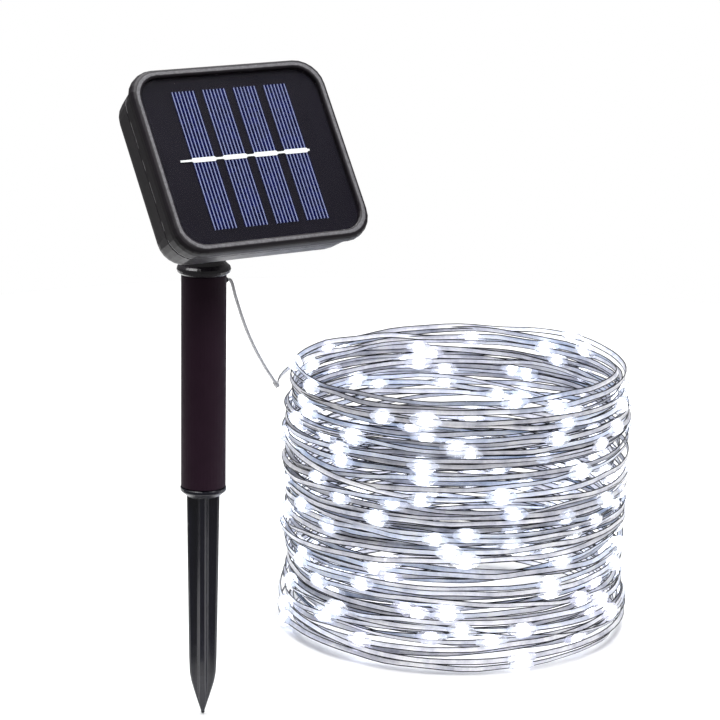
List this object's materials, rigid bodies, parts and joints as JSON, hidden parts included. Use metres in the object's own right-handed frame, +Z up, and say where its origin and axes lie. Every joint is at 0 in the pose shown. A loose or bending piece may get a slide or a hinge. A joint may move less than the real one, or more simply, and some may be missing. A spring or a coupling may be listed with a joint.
{
  "type": "solar string lights",
  "caption": "Solar string lights: a tilting, swivelling panel box on a ground stake, with a grey lead to a standing coil of fine wire with drop-shaped LED beads.",
  "frame": {"origin": "tip of the ground spike, on the stake's axis, level with the surface that the coil stands on", "axes": "+Z up along the stake; the panel faces -Y and leans back; +X is the panel's right as seen from its front"},
  "size_m": [0.3092, 0.2085, 0.2991],
  "materials": {
    "black_abs": "satin",
    "tube_plastic": "matte",
    "spike_plastic": "satin",
    "seal_rubber": "matte",
    "screw_steel": "satin",
    "panel_board": "satin",
    "solar_cell": "satin",
    "tinned_ribbon": "satin",
    "clear_resin": "gloss",
    "circuit_green": "satin",
    "chip_black": "matte",
    "ferrite": "matte",
    "switch_metal": "satin",
    "button_rubber": "matte",
    "battery_wrap": "satin",
    "holder_black": "matte",
    "contact_nickel": "satin",
    "lead_grey": "satin",
    "light_wire": "gloss",
    "bead_resin": "gloss"
  },
  "bodies": {
    "stake": {"ground_spike": "spike_plastic", "stake_tube": "tube_plastic", "lead_grommet": "seal_rubber", "lead_cable": "lead_grey", "splice_sleeve": "lead_grey", "light_coil": "light_wire", "string_end_cap": "bead_resin"},
    "neck": {"swivel_post": "black_abs", "post_o_ring": "seal_rubber"},
    "head": {"rear_shell": "black_abs", "front_bezel": "black_abs", "seal_gasket": "seal_rubber", "panel_board": "panel_board", "solar_cell_1": "solar_cell", "solar_cell_2": "solar_cell", "solar_cell_3": "solar_cell", "solar_cell_4": "solar_cell", "cell_ribbon": "tinned_ribbon", "panel_cover": "clear_resin", "circuit_board": "circuit_green", "controller_chip": "chip_black", "power_inductor": "ferrite", "filter_capacitor": "switch_metal", "power_tact_switch": "switch_metal", "mode_tact_switch": "switch_metal", "battery_cell": "battery_wrap", "battery_holder": "holder_black", "battery_contact": "contact_nickel", "battery_spring": "contact_nickel", "hinge_washer_1": "screw_steel", "hinge_washer_2": "screw_steel", "hinge_screw": "screw_steel", "hinge_nut": "screw_steel", "housing_screw_1": "screw_steel", "housing_screw_2": "screw_steel", "housing_screw_3": "screw_steel", "housing_screw_4": "screw_steel"},
    "power_button": {"power_button": "button_rubber"},
    "mode_button": {"mode_button": "button_rubber"}
  },
  "joints": [
    {"name": "panel_swivel", "type": "hinge", "parent": "stake", "child": "neck", "pos_m": [0, 0, 0.2052], "axis": [0, 0, 1], "range_deg": [-90, 90]},
    {"name": "panel_tilt", "type": "hinge", "parent": "neck", "child": "head", "pos_m": [0, 0, 0.2465], "axis": [1, 0, 0], "range_deg": [-54.3, 35.7]},
    {"name": "power_press", "type": "slide", "parent": "head", "child": "power_button", "axis": [0, -0.8121, 0.5835], "range_m": [0, 0.0007], "stiffness_N_per_m": 800},
    {"name": "mode_press", "type": "slide", "parent": "head", "child": "mode_button", "axis": [0, -0.8121, 0.5835], "range_m": [0, 0.0007], "stiffness_N_per_m": 800}
  ]
}
